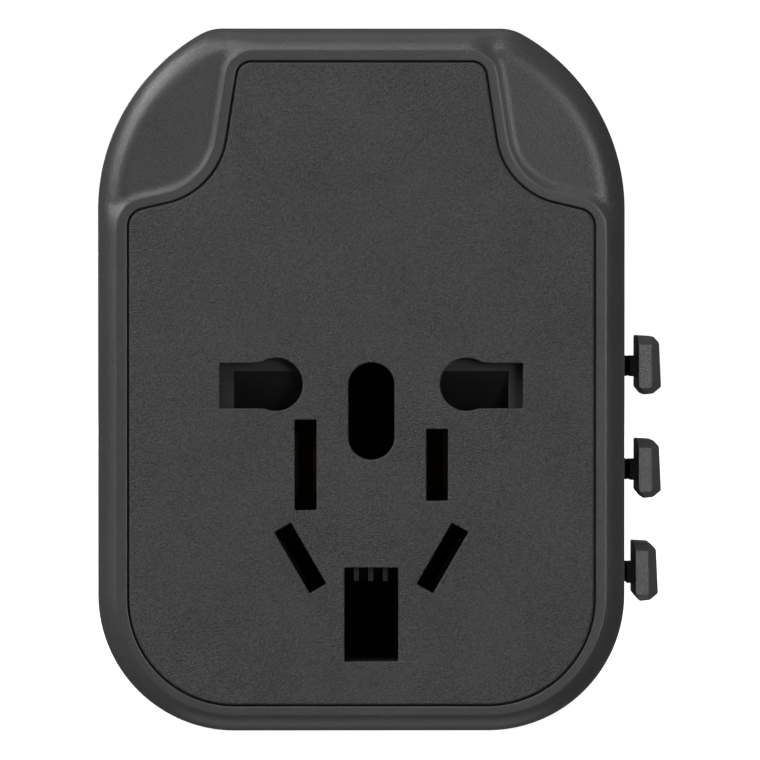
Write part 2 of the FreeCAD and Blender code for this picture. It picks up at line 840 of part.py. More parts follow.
def socket_contact(name, side):
    """Brass contact: a strip along the back of the pocket with three pairs of tines."""
    piece = Piece(name)
    shift = D.pattern_shift
    back = D.base_back - D.contact_seat
    strip = (back - D.strip, back)
    tines = (D.tine_front, back)
    piece.block(span(side, D.pole_inner + 0.5, D.strip_outer, shift), strip,
                (D.pole_foot + 0.4, D.pole_top - 0.1))
    for level in SIDES:
        inner = D.keyhole_height + level * (D.uk_pin_thickness / 2)
        outer = inner + level * D.tine
        piece.block(span(side, D.tine_inner, D.tine_outer, shift), tines, rising(level, inner, outer))
        near = D.us_slot_offset + level * (D.us_pin_thickness / 2)
        far = near + level * D.tine
        reach = D.us_tine_half_length
        piece.block(span(side, *rising(level, near, far), shift), tines,
                    (D.us_slot_height - reach, D.us_slot_height + reach))
        offset = level * (D.us_pin_thickness / 2 + D.tine / 2)
        tilt = D.au_tilt * side
        blade = tilted_rectangle(D.au_slot_offset * side + shift + cosine(tilt) * offset,
                                 D.au_slot_height - sine(tilt) * offset,
                                 D.tine / 2, D.au_tine_half_length, tilt)
        piece.pad(tines, blade)
    return piece


def shutter():
    """Sliding safety shutter: two ramped blocks, a cross bar, two legs and a ramped bridge."""
    piece = Piece("shutter")
    shift = D.pattern_shift
    depth = (D.shutter_front, D.shutter_front + D.shutter_thickness)
    half = both_sides([
        (D.shutter_leg_outer, D.shutter_bridge_foot, None),
        (D.shutter_leg_outer, D.pole_top + D.shutter_bar, None),
        (D.shutter_inner, D.pole_top + D.shutter_bar, None),
        (D.shutter_inner, D.shutter_foot, None),
        (D.shutter_outer, D.shutter_foot, None),
        (D.shutter_outer, D.shutter_top, None),
    ])
    window = both_sides([
        (D.shutter_leg_inner, D.shutter_bridge_top, None),
        (D.shutter_leg_inner, D.pole_top + D.shutter_bar, None),
    ])
    piece.pad(depth, shifted(half, shift), shifted(window, shift))
    front, back = depth
    ramp = [
        (front, D.shutter_foot - 1, None),
        (back - 0.7, D.shutter_foot - 1, None),
        (back - 0.7, D.shutter_foot + 0.6, None),
        (front, D.shutter_land, None),
    ]
    for side in SIDES:
        piece.pocket(span(side, D.shutter_inner - 1, D.shutter_side_land, shift), ramp, plane="YZ")
    wedge = [
        (front - 1, D.shutter_bridge_foot - 1, None),
        (back - 0.8, D.shutter_bridge_foot - 1, None),
        (back - 0.8, D.shutter_bridge_foot, None),
        (front, D.shutter_bridge_top - 0.9, None),
        (front - 1, D.shutter_bridge_top - 0.9, None),
    ]
    for number in range(4):
        left = shift - D.bridge_groove_start + number * D.bridge_groove_pitch
        piece.pocket((left, left + D.bridge_groove), wedge, plane="YZ")
    return piece


def shutter_springs():
    """Two coil springs between the shutter's cross bar and the top of its recess."""
    piece = Piece("shutter_springs")
    clear = D.shutter_spring_wire + D.spring_play
    low = D.shutter_top + clear
    high = D.flange_top - D.flange_wall - clear
    depth = D.shutter_front + D.shutter_thickness / 2
    for side in SIDES:
        place = (D.shutter_spring_offset * side + D.pattern_shift, as_size(0))
        piece.coil("XZ", depth, place, D.shutter_spring_radius, D.shutter_spring_wire, low,
                   (high - low) / D.shutter_spring_turns, high - low, "V_Axis")
    return piece


def mid_plate():
    """Insulating partition between the socket and the plug mechanism, with a cup for an earth pin."""
    piece = Piece("mid_plate")
    back = D.base_back + D.plate_thickness
    piece.pad((D.base_back, back), grown(BODY_OUTLINE, -(D.wall + D.plate_play)))
    cup_back = D.carriage_front - D.cup_play
    piece.pad((back - 0.5, cup_back), earth_slot(D.pocket_play + D.cup_wall))
    holes = [(x, z, D.boss_radius + D.plate_boss_play) for x, z in SCREWS]
    piece.pocket((D.base_back, back), *holes)
    piece.pocket((D.base_back, cup_back - D.cup_floor), earth_slot(D.pocket_play))
    inset = D.tab_inset - D.tab_play
    neutral_tab = rectangle((D.bus_inner + inset, D.bus_outer - inset),
                            (D.neutral_tab_foot - D.tab_play, D.neutral_tab_top + D.tab_play))
    inner, outer = LINE_TAB
    line_tab = rectangle((-(outer + D.tab_play), -(inner - D.tab_play)),
                         (D.line_tab_foot - D.tab_play, D.line_tab_top + D.tab_play))
    piece.pocket((D.base_back, back), neutral_tab, line_tab)
    return piece


def bus_bar(name, side):
    """Brass comb: a spine behind the partition and two fingers along the carriages' path."""
    piece = Piece(name)
    spine_front = D.base_back + D.plate_thickness
    spine = (spine_front, spine_front + D.strip)
    wide = span(side, D.bus_inner, D.bus_outer)
    piece.block(wide, spine, (D.bus_lower, D.bus_upper + D.bus_bar))
    for height in (D.bus_upper, D.bus_lower):
        piece.block(wide, (spine[0], D.bus_end), (height, height + D.bus_bar))
    if side > 0:
        piece.block(span(side, D.bus_inner + D.tab_inset, D.bus_outer - D.tab_inset),
                    (D.base_back - 0.1, spine[1]), (D.neutral_tab_foot, D.neutral_tab_top))
    else:
        strip = span(side, *LINE_TAB)
        piece.block(strip, spine, (D.bus_upper, D.line_tab_top))
        piece.block(strip, (D.base_back - 0.1, spine[1]), (D.line_tab_foot, D.line_tab_top))
    return piece


def fuse():
    """Cartridge fuse, lying along X above the socket."""
    piece = Piece("fuse")
    axis = (D.fuse_depth, D.fuse_height)
    piece.pad((-D.fuse_half_length, D.fuse_half_length), (*axis, D.fuse_radius), plane="YZ")
    reach = D.fuse_half_length - D.fuse_cap
    groove = D.fuse_radius + 1
    piece.pocket((-reach, reach), (*axis, groove), (*axis, D.fuse_radius - 0.25), plane="YZ")
    return piece


def fuse_clip(name, side):
    """Spring clip round one end of the fuse, with its strap."""
    piece = Piece(name)
    back = D.fuse_depth + D.fuse_radius + 0.1
    ends = span(side, D.fuse_half_length - D.fuse_cap + 0.2, D.fuse_half_length - 0.4)
    for level in SIDES:
        near = D.fuse_height + level * (D.fuse_radius + D.clip_play)
        far = near + level * D.clip_metal
        piece.block(ends, (D.fuse_depth - D.clip_reach, back + D.clip_metal), rising(level, near, far))
    half = D.fuse_radius + D.clip_play + D.clip_metal
    piece.block(ends, (back, back + D.clip_metal), (D.fuse_height - half, D.fuse_height + half))
    strap_front = D.base_back - 0.1 - 2 * D.strip
    strap = (strap_front, strap_front + D.strip)
    if side < 0:
        run = span(side, D.bus_inner + 1.6, D.bus_outer - 0.2)
        foot = D.pole_top - D.strap_lap
    else:
        run = span(side, D.bus_inner, D.bus_outer - 2)
        foot = D.line_tab_foot - 0.5
    shelf = (D.fuse_height - half, D.fuse_height - half + D.clip_metal)
    reach = (ends[0], ends[1]) if side < 0 else (run[0], ends[1])
    piece.block(reach, (back, strap[1]), shelf)
    piece.block(run, strap, (foot, shelf[1]))
    if side > 0:
        tab = span(-1, *LINE_TAB)
        piece.block((tab[0], run[1]), strap, (foot, foot + D.bridge_height))
        piece.block(tab, (strap[0], D.base_back - D.contact_seat),
                    (D.line_tab_foot, D.line_tab_top))
    return piece


def housing_screws():
    """Four self-tapping screws, driven from the rear."""
    piece = Piece("housing_screws")
    heads = [(x, z, D.screw_head_radius) for x, z in SCREWS]
    shanks = [(x, z, D.screw_radius) for x, z in SCREWS]
    piece.pad((D.screw_seat, D.screw_seat + D.screw_head), *heads)
    piece.pad((D.screw_tip + 1, D.screw_seat), *shanks)
    reach, half = D.cross_length / 2, D.cross_width / 2
    slots = [rectangle((x - reach, x + reach), (z - half, z + half)) for x, z in SCREWS]
    crosses = [rectangle((x - half, x + half), (z - reach, z + reach)) for x, z in SCREWS]
    top = D.screw_seat + D.screw_head
    piece.pocket((top - D.cross_depth, top), *slots)
    piece.pocket((top - D.cross_depth, top), *crosses)
    return piece


# ---------------------------------------------------------------- plug sets


def knob_middle():
    return D.carriage_front + D.carriage_thickness / 2


def carriage(name):
    """Bar that carries one set of pins, with the socket of its knob at the +X end."""
    height, band = SETS[name]
    piece = Piece(f"{name}_carriage")
    depth = (D.carriage_front, D.carriage_front + D.carriage_thickness)
    piece.block((-D.carriage_half_width, D.carriage_half_width), depth, (height - band, height + band))
    half = D.stem_length / 2 + D.stem_play
    rise = D.stem_height / 2 + D.stem_play
    middle = knob_middle()
    piece.cut((D.socket_root, D.carriage_half_width + 1), (middle - half, middle + half),
              (height - rise, height + rise))
    lug = D.lug_half_depth + D.lug_play
    piece.cut((D.stem_root - D.knob_press - 0.1, D.stem_root + D.lug_width + D.stem_play),
              (middle - lug, middle + lug), (height, height + D.stem_height / 2 + D.lug_rise + D.lug_play))
    return piece


def uk_carriage():
    piece = carriage("uk")
    depth = (D.carriage_front, D.carriage_front + D.carriage_thickness)
    top = D.uk_height + D.uk_half_band
    earth = D.uk_height + D.uk_earth_rise
    crown = earth + D.uk_earth_tall / 2 + 1.2
    piece.block((-D.arm_half_width, D.arm_half_width), depth, (top - 1, crown))
    piece.cut((-D.uk_earth_wide / 2, D.uk_earth_wide / 2), (depth[0] - 1, depth[1] + 1),
              (earth - D.uk_earth_tall / 2, earth + D.uk_earth_tall / 2))
    for side in SIDES:
        piece.cut(span(side, D.uk_pin_offset - D.uk_pin_width / 2, D.uk_pin_offset + D.uk_pin_width / 2),
                  (depth[0] - 1, depth[1] + 1),
                  (D.uk_height - D.uk_pin_thickness / 2, D.uk_height + D.uk_pin_thickness / 2))
    return piece


def us_carriage():
    piece = carriage("us")
    depth = (D.carriage_front, D.carriage_front + D.carriage_thickness)
    bores = [(D.us_pin_offset * side, D.us_height, D.shank_radius + D.shank_play) for side in SIDES]
    piece.pocket(depth, *bores)
    seats = [(D.us_pin_offset * side, D.us_height, D.ring_radius + 0.2) for side in SIDES]
    piece.pocket((depth[0], depth[0] + D.ring_thickness + 0.2), *seats)
    return piece


def eu_carriage():
    piece = carriage("eu")
    depth = (D.carriage_front, D.carriage_front + D.carriage_thickness)
    bores = [(D.eu_pin_offset * side, D.eu_height, D.eu_root_radius) for side in SIDES]
    piece.pocket(depth, *bores)
    return piece


def tip_of(length):
    """Where a pin's tip lies when its set is pulled in."""
    return BACK + length - D.stroke


def uk_pin(name, side):
    """Rectangular pin with a tapered tip, reduced where its sleeve sits."""
    piece = Piece(name)
    tip = tip_of(D.uk_pin_length)
    x = span(side, D.uk_pin_offset - D.uk_pin_width / 2, D.uk_pin_offset + D.uk_pin_width / 2)
    z = (D.uk_height - D.uk_pin_thickness / 2, D.uk_height + D.uk_pin_thickness / 2)
    root = D.carriage_front + D.carriage_thickness
    neck_end = tip_of(D.uk_sleeve_length)
    piece.block(x, (D.carriage_front, root), z)
    slim_x = (x[0] + D.sleeve_wall, x[1] - D.sleeve_wall)
    slim_z = (z[0] + D.sleeve_wall, z[1] - D.sleeve_wall)
    piece.block(slim_x, (root - 0.5, neck_end + 0.5), slim_z)
    piece.block(x, (neck_end, tip), z)
    piece.round_edges(D.uk_tip_bevel, edge_on("Y", tip), kind="Chamfer")
    return piece


def uk_sleeve(name, side):
    piece = Piece(name)
    x = span(side, D.uk_pin_offset - D.uk_pin_width / 2, D.uk_pin_offset + D.uk_pin_width / 2)
    z = (D.uk_height - D.uk_pin_thickness / 2, D.uk_height + D.uk_pin_thickness / 2)
    root = D.carriage_front + D.carriage_thickness
    inner = rectangle((x[0] + D.sleeve_wall, x[1] - D.sleeve_wall),
                      (z[0] + D.sleeve_wall, z[1] - D.sleeve_wall))
    piece.pad((root, tip_of(D.uk_sleeve_length)), rectangle(x, z), inner)
    return piece


def uk_earth_pin():
    """Plastic pin that opens the shutter of a wall socket."""
    piece = Piece("uk_earth_pin")
    tip = tip_of(D.uk_earth_length)
    middle = D.uk_height + D.uk_earth_rise
    piece.block((-D.uk_earth_wide / 2, D.uk_earth_wide / 2), (D.carriage_front, tip),
                (middle - D.uk_earth_tall / 2, middle + D.uk_earth_tall / 2))
    piece.round_edges(D.uk_earth_tip_bevel, edge_on("Y", tip), kind="Chamfer")
    return piece


def us_blade(name, side):
    """Flat blade on a round shank, so that it can be turned in its carriage."""
    piece = Piece(name)
    tip = tip_of(D.us_pin_length)
    flush = D.carriage_front + D.carriage_thickness
    root = flush + 0.1
    centre = D.us_pin_offset * side
    seat = D.carriage_front + D.ring_thickness + 0.2
    thick = (centre - D.us_pin_thickness / 2, centre + D.us_pin_thickness / 2)
    piece.pad((seat, flush), (centre, D.us_height, D.shank_radius))
    piece.pad((D.carriage_front + 0.05, seat), (centre, D.us_height, D.shank_neck))
    piece.block(thick, (flush - 0.5, root + 0.5), (D.us_height - D.shank_neck, D.us_height + D.shank_neck))
    piece.block(thick, (root, tip),
                (D.us_height - D.us_pin_width / 2, D.us_height + D.us_pin_width / 2))
    piece.round_edges(D.us_tip_bevel, edge_on("Y", tip), kind="Chamfer")
    return piece


def us_clip(name, side):
    piece = Piece(name)
    centre = D.us_pin_offset * side
    start = D.carriage_front + 0.1
    piece.pad((start, start + D.ring_thickness), (centre, D.us_height, D.ring_radius),
              (centre, D.us_height, D.shank_neck))
    return piece


def eu_pin(name, side):
    """Round pin: wide root in the carriage, neck under its sleeve, domed tip."""
    piece = Piece(name)
    tip = tip_of(D.eu_pin_length)
    place = (D.eu_pin_offset * side, D.eu_height)
    root = D.carriage_front + D.carriage_thickness
    neck_end = tip_of(D.eu_sleeve_length)
    piece.pad((D.carriage_front, root), (*place, D.eu_root_radius))
    piece.pad((root - 0.5, neck_end + 0.5), (*place, D.eu_neck_radius))
    piece.pad((neck_end, tip), (*place, D.eu_pin_radius))
    piece.round_edges(D.eu_tip_round, edge_on("Y", tip))
    return piece


def eu_sleeve(name, side):
    piece = Piece(name)
    place = (D.eu_pin_offset * side, D.eu_height)
    root = D.carriage_front + D.carriage_thickness
    piece.pad((root, tip_of(D.eu_sleeve_length)), (*place, D.eu_sleeve_radius),
              (*place, D.eu_neck_radius))
    return piece


def wiper(name, side, pin_x, pin_z, leaf):
    """Leaf contact across a carriage's front face, from the pin's tail to its bus bar."""
    piece = Piece(name)
    depth = (D.carriage_front - D.wiper, D.carriage_front)
    run = span(side, D.wiper_inner, D.wiper_outer)
    above = leaf[0].value > pin_z.value
    low, high = pin_z - D.wiper_half_width, pin_z + D.wiper_half_width
    piece.block(run, depth, (low, leaf[1]) if above else (leaf[0], high))
    piece.block(span(side, pin_x - D.wiper_lap, D.wiper_outer), depth, (low, high))
    piece.block(run, (depth[0], D.carriage_front + D.carriage_thickness - D.wiper_heel), leaf)
    return piece


def knob(name):
    """Push-and-slide knob: bevelled head outside, stem through the wall, lug inside."""
    height, _ = SETS[name]
    piece = Piece(f"{name}_knob")
    inset = D.eu_knob_inset if name == "eu" else as_size(0)
    near = D.body_half_width + D.knob_gap - inset
    far = near + D.knob_head
    middle = knob_middle()
    low, high = height - D.knob_height / 2, height + D.knob_height / 2
    reach = D.knob_length / 2
    head = [
        (near + D.knob_corner * 0.8, low, None),
        (far - D.knob_corner, low, None),
        (far, low + D.knob_corner * 0.8, None),
        (far - D.knob_flare, high, D.knob_round),
        (near, high, None),
        (near, low + D.knob_corner, None),
    ]
    piece.pad((middle - reach, middle + reach), head)
    for end in (middle - reach, middle + reach):
        piece.round_edges(D.knob_bevel, edge_on("Y", end), kind="Chamfer")
    stem = D.stem_length / 2
    piece.block((D.stem_root, near + 0.5), (middle - stem, middle + stem),
                (height - D.stem_height / 2, height + D.stem_height / 2))
    lug = D.lug_half_depth
    piece.block((D.stem_root, D.stem_root + D.lug_width), (middle - lug, middle + lug),
                (height, height + D.stem_height / 2 + D.lug_rise))
    return piece


def knob_spring(name):
    """Coil spring between the knob's stem and the bottom of its socket."""
    height, _ = SETS[name]
    piece = Piece(f"{name}_knob_spring")
    clear = D.knob_spring_wire + D.spring_play
    start = D.socket_root + clear
    length = D.stem_root - clear - start
    piece.coil("XZ", knob_middle(), (as_size(0), height), D.knob_spring_radius,
               D.knob_spring_wire, start, length / D.knob_spring_turns, length, "H_Axis")
    return piece


# ---------------------------------------------------------------- assembly

POLES = (("line", -1), ("neutral", 1))
UPPER_LEAF = D.bus_upper + D.bus_bar + D.wiper_gap
UPPER_UNDER = D.bus_upper - D.wiper_gap
LOWER_UNDER = D.bus_lower - D.wiper_gap

pieces = [
    front_housing(), rear_housing(), front_panel(), contact_base(), shutter(), shutter_springs(),
    mid_plate(), fuse(), fuse_clip("fuse_input_clip", -1), fuse_clip("fuse_output_clip", 1),
    housing_screws(), uk_carriage(), us_carriage(), eu_carriage(), uk_earth_pin(),
]
for pole, side in POLES:
    pieces += [
        socket_contact(f"{pole}_contact", side),
        bus_bar(f"{pole}_bus_bar", side),
        uk_pin(f"uk_{pole}_pin", side),
        uk_sleeve(f"uk_{pole}_sleeve", side),
        us_blade(f"us_{pole}_blade", side),
        us_clip(f"us_{pole}_clip", side),
        eu_pin(f"eu_{pole}_pin", side),
        eu_sleeve(f"eu_{pole}_sleeve", side),
        wiper(f"uk_{pole}_wiper", side, D.uk_pin_offset, D.uk_height,
              (UPPER_LEAF, UPPER_LEAF + D.wiper)),
        wiper(f"us_{pole}_wiper", side, D.us_pin_offset, D.us_height,
              (UPPER_UNDER - D.wiper, UPPER_UNDER)),
        wiper(f"eu_{pole}_wiper", side, D.eu_pin_offset, D.eu_height,
              (LOWER_UNDER - D.wiper, LOWER_UNDER)),
    ]
for name in SETS:
    pieces += [knob(name), knob_spring(name)]

document.recompute()
for thing in document.Objects:
    if "Invalid" in thing.State or "Error" in thing.State:
        raise RuntimeError(f"{thing.Name} failed: {thing.State}")
for piece in pieces:
    shape = piece.body.Shape
    if shape.isNull() or not shape.isValid():
        raise RuntimeError(f"{piece.name} has no valid shape")

os.makedirs("parts", exist_ok=True)
for piece in pieces:
    piece.body.Shape.exportStep(f"parts/{piece.name}.step")
    box = piece.body.Shape.BoundBox
    print(f"{piece.name}: {piece.body.Shape.Volume:.1f} mm3, {len(piece.body.Shape.Solids)} solid(s),"
          f" x {box.XMin:.2f}..{box.XMax:.2f}, y {box.YMin:.2f}..{box.YMax:.2f},"
          f" z {box.ZMin:.2f}..{box.ZMax:.2f}")
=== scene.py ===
import json
import math

import bpy
import numpy as np
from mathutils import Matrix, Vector


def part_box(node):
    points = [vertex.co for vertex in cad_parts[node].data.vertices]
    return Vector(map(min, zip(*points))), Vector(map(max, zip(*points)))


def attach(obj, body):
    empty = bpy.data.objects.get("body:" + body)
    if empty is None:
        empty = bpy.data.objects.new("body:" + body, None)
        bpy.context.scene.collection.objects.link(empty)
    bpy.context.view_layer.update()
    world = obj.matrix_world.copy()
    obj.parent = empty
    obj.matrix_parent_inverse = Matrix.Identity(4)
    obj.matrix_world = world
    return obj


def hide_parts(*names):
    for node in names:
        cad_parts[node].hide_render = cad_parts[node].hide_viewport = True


# Universal travel adapter: looks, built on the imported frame. The front casing and the three
# slide knobs are remade with softer, finer shapes; every other piece is the frame's own.
# Shapes are worked out in millimetres and scaled to metres when a mesh is made.

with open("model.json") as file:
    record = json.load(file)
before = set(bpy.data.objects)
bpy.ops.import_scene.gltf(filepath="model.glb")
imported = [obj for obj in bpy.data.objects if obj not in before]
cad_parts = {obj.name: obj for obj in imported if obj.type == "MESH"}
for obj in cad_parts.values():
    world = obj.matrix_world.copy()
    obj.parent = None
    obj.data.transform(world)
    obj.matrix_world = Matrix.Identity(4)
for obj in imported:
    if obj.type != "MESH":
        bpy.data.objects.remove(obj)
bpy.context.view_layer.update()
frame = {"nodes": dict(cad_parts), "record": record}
nodes = frame["nodes"]
MM = 0.001

# ---------------------------------------------------------------- sizes of the front casing

# Right halves of the outlines seen from the front: x, z and radius of each corner.
BODY = [(25.5, 0.0, 13.2), (25.5, 61.8, 19.5), (14.6, 68.0, 4.4)]
PANEL = [(22.5, 2.6, 10.3), (22.5, 50.2, 1.7), (13.8, 52.2, 7.5), (11.85, 64.7, 1.4)]
PANEL_GAP = 0.12
LEDGE = 1.5
WALL = 2.0

# Levels along Y, from the front to the rear.
FRONT, RECESS, INNER_FACE, PARTING = -27.5, -25.5, -24.0, -7.0
GAP_FLOOR = FRONT + 0.9

# The rim: how far its edge falls back, how wide the round-over is, and its tilts.
RIM_FALL = 2.1
RIM_WIDTH, WIDER_AT_TOP, NARROWER_AT_FOOT = 1.9, 0.28, 0.3
WIDENS_AT, WIDENS_OVER = 58, 8
NARROWS_AT, NARROWS_OVER = 8, 7
CREASE, STEEPEST = math.radians(25), math.radians(76)
CREASE_ROUND = 0.11
LIP = 0.13

# The corner scoops start where the rim is wider than a plain stretch of it.
PLAIN_RIM, WIDER_RIM_AT_TOP = 3.0, 0.3
RIM_WIDENS_AT, RIM_WIDENS_OVER = 54, 8
SCOOP_DEPTH, SCOOP_RISE = 0.31, 1.15
SCOOPS_ABOVE = 40
SCOOP_WIDER, SCOOP_SOFTER = 0.35, 0.55
STEP_START, STEP_END = 0.88, 2.1
STEP_BEND, STEP_HOLLOW = 0.2, 0.62
TIP_RUN = 0.4
LOWER_TIP, LOWER_TIP_RUN, LOWER_TIP_INSIDE = 48.0, 2.4, 20
UPPER_TIP, UPPER_TIP_RUN, UPPER_TIP_ABOVE = 9.8, 2.2, 60

# Screw bosses inside the casing.
SCREWS = [(-14.0, 6.6), (14.0, 6.6), (-13.0, 60.0), (13.0, 60.0)]
BOSS_RADIUS, SCREW_BORE, BOSS_ROOT = 3.1, 1.25, 0.2

# How the casing's mesh is divided: points of each stretch of a half outline, the places where
# the stretches meet, and rings across the front.
STRETCHES = (34, 40, 44, 12, 96, 14, 30)
BODY_MARKS = [(12.3, 0), (25.5, 13.2), (25.5, 48.4), (25.5, 50.9), (14.9, 67.6), (13.0, 68)]
PANEL_MARKS = [(12.2, 2.4), (22.7, 12.9), (22.7, 48.7), (21.2, 50.7), (12.2, 63.4), (10.6, 64.9)]
RINGS_BY_GAP, RINGS_BETWEEN, RINGS_BY_EDGE = 26, 12, 24
BY_GAP, BY_GAP_SHARE = 3.1, 0.47
BY_EDGE, BY_EDGE_SHARE = 2.7, 0.43
SIDE_RINGS = (0.03, 0.1, 0.25, 0.5, 0.8)
PARTING_ROUND = ((0, 0.16), (0.03, 0.07), (0.08, 0.02), (0.16, 0))

# ---------------------------------------------------------------- sizes of the knobs

HEAD_WIDTH, HEAD_RAISE = 2.47, 0.1
FACET_LEAN = (0.2, 0.06)
FRONT_BEVEL, REAR_BEVEL = 1.1, 0.5
STEM_HALF_DEPTH, STEM_HALF_HEIGHT = 1.5, 1.02
LUG_HALF_DEPTH, LUG_LENGTH, LUG_TOP = 0.5, 1.0, 1.82
NECK_LENGTH, STEM_INTO_HEAD, FORWARD_INSET = 0.8, 0.1, 0.3
STEM_BLOCKS = 3
EDGE_ROUND = 0.14

# How finely outlines are drawn, and how many points are measured at once.
ARC_STEP, FEWEST_ARC_POINTS = math.radians(0.75), 8
SMALLEST_ROUND = 0.1
BATCH = 4000

# Sizes of the cloudy patches in the materials, as noise scales per metre.
MOTTLING, TARNISH = 140.0, 260.0

# ---------------------------------------------------------------- outlines


def box_quads(first=0):
    """Faces of a box whose eight corners run round the bottom, then round the top."""
    quads = [(0, 3, 2, 1), (4, 5, 6, 7), (0, 1, 5, 4), (1, 2, 6, 5), (2, 3, 7, 6), (3, 0, 4, 7)]
    return [tuple(first + corner for corner in quad) for quad in quads]


def grow(corners, margin):
    """The corners of an outline moved outwards by margin, with concentric rounds."""
    path = [(0.0, corners[0][1], 0.0), *corners, (0.0, corners[-1][1], 0.0)]
    grown = []
    for before, (x, z, radius), after in zip(path, path[1:], path[2:]):
        into = np.array([x - before[0], z - before[1]])
        out = np.array([after[0] - x, after[1] - z])
        into, out = into / np.linalg.norm(into), out / np.linalg.norm(out)
        normals = np.array([into[1], -into[0]]), np.array([out[1], -out[0]])
        reach = (normals[0] + normals[1]) / (1 + normals[0] @ normals[1])
        convex = into[0] * out[1] - into[1] * out[0] > 0
        rounded = max(radius + (margin if convex else -margin), SMALLEST_ROUND)
        grown.append((x + margin * reach[0], z + margin * reach[1], rounded))
    return grown


def trace(corners):
    """A dense line through rounded corners, from the bottom centre to the top centre."""
    ends = np.array([(0.0, corners[0][1]), (0.0, corners[-1][1])])
    path = [ends[0], *[np.array(c[:2]) for c in corners], ends[1]]
    line = [path[0]]
    for i, (x, z, radius) in enumerate(corners, 1):
        back = path[i - 1] - path[i]
        ahead = path[i + 1] - path[i]
        back, ahead = back / np.linalg.norm(back), ahead / np.linalg.norm(ahead)
        half = math.acos(np.clip(back @ ahead, -1, 1)) / 2
        middle = (back + ahead) / np.linalg.norm(back + ahead)
        centre = path[i] + middle * radius / math.sin(half)
        first = path[i] + back * radius / math.tan(half) - centre
        last = path[i] + ahead * radius / math.tan(half) - centre
        turn = math.atan2(first[0] * last[1] - first[1] * last[0], first @ last)
        for angle in np.linspace(0, turn, max(FEWEST_ARC_POINTS, int(abs(turn) / ARC_STEP))):
            cos, sin = math.cos(angle), math.sin(angle)
            line.append(centre + (first[0] * cos - first[1] * sin, first[0] * sin + first[1] * cos))
    line.append(path[-1])
    return np.array(line)


def lengths(line):
    """Distance along a line to each of its points."""
    steps = np.linalg.norm(np.diff(line, axis=0), axis=1)
    return np.concatenate([[0], np.cumsum(steps)])


def sample(line, marks, counts):
    """Points spaced evenly between marks, each mark the place on the line nearest to a point."""
    run = lengths(line)
    places = [run[np.argmin(np.linalg.norm(line - np.array(m), axis=1))] for m in marks]
    places = [0.0, *places, run[-1]]
    stretches = zip(places, places[1:], counts)
    spread = [np.linspace(start, end, n, endpoint=False) for start, end, n in stretches]
    wanted = np.concatenate([*spread, [run[-1]]])
    return np.stack([np.interp(wanted, run, line[:, k]) for k in (0, 1)], axis=1)


def all_round(half):
    """The right half and its mirror image as one closed loop."""
    left = half[-2:0:-1] * (-1, 1)
    return np.concatenate([half, left])


def nearest(points, line):
    """Distance from each point to a line."""
    a, b = line[:-1], line[1:]
    along = b - a
    squared = (along**2).sum(1)
    best = np.empty(len(points))
    for k in range(0, len(points), BATCH):
        p = points[k:k + BATCH, None, :]
        t = np.clip(((p - a) * along).sum(2) / squared, 0, 1)
        offset = p - (a + t[..., None] * along)
        best[k:k + BATCH] = np.linalg.norm(offset, axis=2).min(1)
    return best


def smooth(t):
    """A rise from 0 to 1, level at both ends."""
    t = np.clip(t, 0, 1)
    return t * t * (3 - 2 * t)


# ---------------------------------------------------------------- the front casing

BODY_LINE = trace(BODY)
PANEL_LINE = trace(PANEL)


def soft_clip(t, softness):
    """t where it is positive, 0 where it is not, with a rounded bend between."""
    bend = (t + softness) ** 2 / (4 * softness)
    return np.where(t > softness, t, np.where(t < -softness, 0, bend))


def round_over(distance, width, softness):
    """Part of the fall across the rim: an arc whose tilt runs from CREASE to STEEPEST."""
    into = np.clip(soft_clip(1 - distance / width, softness / width), 0, 1)
    low, high = math.sin(CREASE), math.sin(STEEPEST)
    sine = low + (high - low) * into
    return (math.cos(CREASE) - np.sqrt(1 - sine**2)) / (math.cos(CREASE) - math.cos(STEEPEST))


def step(t):
    """From land to scoop: a short bend at the top, a straight slope, a long hollow at the foot."""
    t = np.clip(t, 0, 1)
    slope = 2 / (2 - STEP_BEND - STEP_HOLLOW)
    bend = slope * t**2 / (2 * STEP_BEND)
    hollow = 1 - slope * (1 - t) ** 2 / (2 * STEP_HOLLOW)
    straight = slope * (t - STEP_BEND / 2)
    return np.where(t < STEP_BEND, bend, np.where(t > 1 - STEP_HOLLOW, hollow, straight))


def front_surface(points):
    """Y of the front surface of the casing at each (x, z)."""
    across, height = np.abs(points).T
    folded = np.stack([across, height], axis=1)
    from_edge = nearest(folded, BODY_LINE)
    from_panel = nearest(folded, PANEL_LINE)
    plain = PLAIN_RIM + WIDER_RIM_AT_TOP * smooth((height - RIM_WIDENS_AT) / RIM_WIDENS_OVER)
    past_side = smooth((height - LOWER_TIP) / LOWER_TIP_RUN) * (across > LOWER_TIP_INSIDE)
    past_top = smooth((across - UPPER_TIP) / UPPER_TIP_RUN) * (height > UPPER_TIP_ABOVE)
    spare = from_edge + from_panel - plain + TIP_RUN * np.maximum(past_side, past_top)
    scooped = smooth(spare / SCOOP_RISE) * (height > SCOOPS_ABOVE)
    width = RIM_WIDTH + WIDER_AT_TOP * smooth((height - WIDENS_AT) / WIDENS_OVER)
    width = width - NARROWER_AT_FOOT * smooth((NARROWS_AT - height) / NARROWS_OVER)
    width = width + SCOOP_WIDER * scooped
    softness = CREASE_ROUND + SCOOP_SOFTER * scooped
    sunk = SCOOP_DEPTH * step((from_panel - STEP_START) / (STEP_END - STEP_START)) * scooped
    fall = (RIM_FALL - sunk) * round_over(from_edge, width, softness)
    past_gap = np.clip(from_panel - PANEL_GAP, 0, LIP)
    rounded_lip = LIP - np.sqrt(np.clip(LIP**2 - (LIP - past_gap) ** 2, 0, None))
    return FRONT + sunk + fall + rounded_lip


